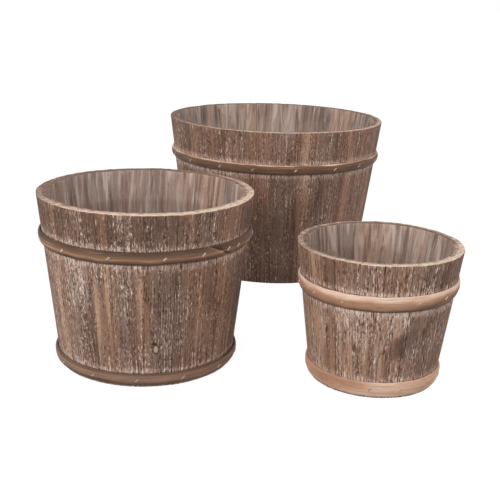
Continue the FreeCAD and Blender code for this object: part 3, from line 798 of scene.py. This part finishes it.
# One staple with its crown along X and its legs pointing down
def modelStaple():
    clearSelection()
    bpy.ops.mesh.primitive_cube_add(size=1)
    staple = bpy.context.object
    bpy.ops.object.mode_set(mode="EDIT")
    bpy.ops.transform.resize(value=(stapleShape["crown"], stapleShape["width"], stapleShape["wire"]))
    half = stapleShape["crown"] / 2 - stapleShape["wire"]
    for cut in (half, -half):
        bpy.ops.mesh.select_all(action="SELECT")
        bpy.ops.mesh.bisect(plane_co=(cut, 0, 0), plane_no=(1, 0, 0))
    pick("faces", lambda face: face.normal.z < -0.9 and abs(face.calc_center_median().x) > half)
    bpy.ops.mesh.extrude_region_move(TRANSFORM_OT_translate={"value": (0, 0, -stapleShape["leg"])})
    pick("edges", lambda edge: all(vert.co.z > 0 for vert in edge.verts))
    bpy.ops.mesh.bevel(offset=stapleShape["round"], segments=2, affect="EDGES")
    bpy.ops.object.mode_set(mode="OBJECT")
    return staple


# Where the staples of a hoop stand: the ones in view as they are driven, the rest at even steps
def stapleAngles(planter, place):
    if place == "lower":
        count = round(360 / planter["stapleStep"])
        return [planter["lowerStaplePhase"] + 360 / count * step for step in range(count)]
    seen = list(planter["staplesSeen"])
    span = 360 - (seen[-1] - seen[0])
    count = round(span / planter["stapleStep"])
    return seen + [seen[-1] + span / count * step for step in range(1, count)]


def makeStaples(planter, hoops, pattern, steel):
    copies = []
    for place, hoop in hoops.items():
        for degrees in stapleAngles(planter, place):
            heading = math.radians(degrees)
            rise = hoop["rise"] + hoop["skew"] * math.cos(heading - hoop["skewHeading"])
            copy = pattern.copy()
            copy.data = pattern.data.copy()
            bpy.context.collection.objects.link(copy)
            tilt = stapleShape["tilt"] + stapleShape["tiltSpread"] * (chance(degrees) - 0.5)
            radius = hoop["radius"] + stapleShape["lift"] - stapleShape["wire"] / 2
            lay = (Matrix.Translation(planter["centre"]) @ Matrix.Rotation(heading, 4, "Z")
                   @ Matrix.Translation((radius, 0, rise))
                   @ Matrix.Rotation(math.pi / 2 + wallLean(planter), 4, "Y")
                   @ Matrix.Rotation(math.radians(90 + tilt), 4, "Z"))
            copy.data.transform(lay)
            bright = np.full(len(copy.data.vertices), stapleFinish[place])
            setAttribute(copy.data, "bright", "FLOAT", "value", bright)
            copies.append(copy)
    piece = joinPieces(copies, planter["name"] + "Staples")
    finishPiece(piece, planter["name"] + "_staples", [steel])
    print(planter["name"], "staples:", len(copies))


floorFinish = {
    "light": paint(176, 150, 132), "brown": paint(132, 104, 88), "pore": paint(80, 62, 52), "roughness": 0.85,
}


def makeFloorWood():
    material, tree, shader = newMaterial("floorWood")
    place = addNode(tree, "ShaderNodeTexCoord").outputs["Object"]
    bands = grainNoise(tree, place, (150.0, 5.0, 60.0), 4.0, 0.6, 0.5)
    fibre = grainNoise(tree, place, (800.0, 18.0, 300.0), 3.0, 0.6)
    colour = tint(tree, fade(tree, bands, 0.36, 0.64), floorFinish["brown"], floorFinish["light"])
    colour = tint(tree, fade(tree, fibre, 0.46, 0.28, 0.0, 0.6), colour, floorFinish["pore"])
    bump = addNode(tree, "ShaderNodeBump", {"Strength": 0.5, "Distance": 0.001, "Height": bands})
    tree.links.new(colour, shader.inputs["Base Color"])
    tree.links.new(bump.outputs[0], shader.inputs["Normal"])
    shader.inputs["Roughness"].default_value = floorFinish["roughness"]
    return material


floorShape = {"sides": 120, "ease": 0.0008, "drainSides": 40, "drillLength": 0.1}


# A round floor sawn into three boards, the middle one drilled for the drain
def makeFloor(planter, wood):
    discLow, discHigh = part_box(planter["name"] + "_floor_middle")
    radius = (discHigh.y - discLow.y) / 2
    for board in ("left", "middle", "right"):
        node = "%s_floor_%s" % (planter["name"], board)
        low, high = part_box(node)
        thick = high.z - low.z
        middle = (planter["centre"].x, planter["centre"].y, (low.z + high.z) / 2)
        clearSelection()
        bpy.ops.mesh.primitive_cylinder_add(vertices=floorShape["sides"], radius=radius, depth=thick,
                                            location=middle)
        piece = bpy.context.object
        bpy.ops.object.transform_apply(location=True, rotation=True, scale=True)
        bpy.ops.object.mode_set(mode="EDIT")
        for edge, normal in ((low.x, (-1, 0, 0)), (high.x, (1, 0, 0))):
            bpy.ops.mesh.select_all(action="SELECT")
            bpy.ops.mesh.bisect(plane_co=(edge, 0, 0), plane_no=normal, clear_outer=True, use_fill=True)
        bpy.ops.object.mode_set(mode="OBJECT")
        if board == "middle":
            drillDrain(piece, planter)
        bevel = piece.modifiers.new("ease", "BEVEL")
        bevel.width = floorShape["ease"]
        bevel.segments = 2
        bpy.ops.object.modifier_apply(modifier="ease")
        piece.name = "%sFloor%s" % (planter["name"], board.capitalize())
        finishPiece(piece, node, [wood])
    print(planter["name"], "floor boards: 3")


def drillDrain(piece, planter):
    clearSelection()
    bpy.ops.mesh.primitive_cylinder_add(vertices=floorShape["drainSides"], radius=planter["drain"],
                                        depth=floorShape["drillLength"], location=planter["centre"])
    drill = bpy.context.object
    clearSelection()
    piece.select_set(True)
    bpy.context.view_layer.objects.active = piece
    cut = piece.modifiers.new("drain", "BOOLEAN")
    cut.operation = "DIFFERENCE"
    cut.object = drill
    bpy.ops.object.modifier_apply(modifier="drain")
    bpy.data.objects.remove(drill)


stage = {
    "reach": 30.0, "floor": 0.5, "roughness": 0.9, "glow": 0.75, "white": 1.27, "fill": 0.6,
    "aim": (0, -0.1, 0.15),
}
lamps = {
    "key": {"place": (-1.5, -2.6, 2.5), "size": 2.2, "power": 62.0},
    "side": {"place": (2.6, -1.2, 1.9), "size": 2.0, "power": 14.0},
}
lens = {"place": (0.0048, -1.6806, 0.5872), "pitch": 73.55, "roll": 1.78, "focal": 64.12, "sensor": 36}


def dressStage():
    clearSelection()
    bpy.ops.mesh.primitive_plane_add(size=2 * stage["reach"])
    floor = bpy.context.object
    floor.name = "studioFloor"
    material, tree, shader = newMaterial("studioFloor")
    shader.inputs["Base Color"].default_value = (stage["floor"], stage["floor"], stage["floor"], 1)
    shader.inputs["Roughness"].default_value = stage["roughness"]
    shader.inputs["Specular IOR Level"].default_value = 0.0
    rays = addNode(tree, "ShaderNodeLightPath")
    seen = sumUp(tree, "MAXIMUM", rays.outputs["Is Camera Ray"], rays.outputs["Is Glossy Ray"])
    seen = sumUp(tree, "MAXIMUM", seen, rays.outputs["Is Transmission Ray"])
    # no glow under a planter, so that its drain hole stays dark
    place = addNode(tree, "ShaderNodeTexCoord").outputs["Object"]
    for planter in planters.values():
        spans = {0: place, 1: planter["centre"]}
        away = addNode(tree, "ShaderNodeVectorMath", spans, operation="DISTANCE").outputs["Value"]
        foot = planter["baseRadius"] - planter["wall"]
        seen = sumUp(tree, "MULTIPLY", seen, fade(tree, away, foot, foot + planter["wall"] / 2))
    glow = addNode(tree, "ShaderNodeEmission", {"Color": (1, 1, 1, 1), "Strength": stage["white"]})
    blend = addNode(tree, "ShaderNodeMixShader", {0: sumUp(tree, "MULTIPLY", seen, stage["glow"]),
                                                  1: shader.outputs[0], 2: glow.outputs[0]})
    tree.links.new(blend.outputs[0], tree.nodes["Material Output"].inputs["Surface"])
    floor.data.materials.append(material)

    world = bpy.data.worlds.new("studio")
    bpy.context.scene.world = world
    world.use_nodes = True
    tree = world.node_tree
    backdrop = tree.nodes["Background"]
    backdrop.inputs["Color"].default_value = (1, 1, 1, 1)
    rays = addNode(tree, "ShaderNodeLightPath")
    seen = sumUp(tree, "MAXIMUM", rays.outputs["Is Camera Ray"], rays.outputs["Is Glossy Ray"])
    seen = sumUp(tree, "MAXIMUM", seen, rays.outputs["Is Transmission Ray"])
    strength = sumUp(tree, "MULTIPLY_ADD", seen, 1 - stage["fill"], stage["fill"])
    tree.links.new(strength, backdrop.inputs["Strength"])

    for name, lamp in lamps.items():
        light = bpy.data.lights.new(name, "AREA")
        light.size = lamp["size"]
        light.energy = lamp["power"]
        holder = bpy.data.objects.new(name, light)
        bpy.context.collection.objects.link(holder)
        holder.location = lamp["place"]
        beam = Vector(stage["aim"]) - Vector(lamp["place"])
        holder.rotation_euler = beam.to_track_quat("-Z", "Y").to_euler()

    camera = bpy.data.objects.new("camera", bpy.data.cameras.new("camera"))
    camera.data.lens = lens["focal"]
    camera.data.sensor_width = lens["sensor"]
    camera.matrix_world = (Matrix.Translation(lens["place"])
                           @ Matrix.Rotation(math.radians(lens["pitch"]), 4, "X")
                           @ Matrix.Rotation(math.radians(lens["roll"]), 4, "Z"))
    bpy.context.collection.objects.link(camera)
    bpy.context.scene.camera = camera
    bpy.context.scene.view_settings.view_transform = "Standard"
    print("stage, lamps and camera set")


dressStage()
steel = makeStapleSteel()
boards = makeFloorWood()
staplePattern = modelStaple()
for planterFacts in planters.values():
    makeStaves(planterFacts)
    hoopPlaces = {place: makeHoop(planterFacts, place) for place in planterFacts["hoops"]}
    makeStaples(planterFacts, hoopPlaces, staplePattern, steel)
    makeFloor(planterFacts, boards)
bpy.data.objects.remove(staplePattern)
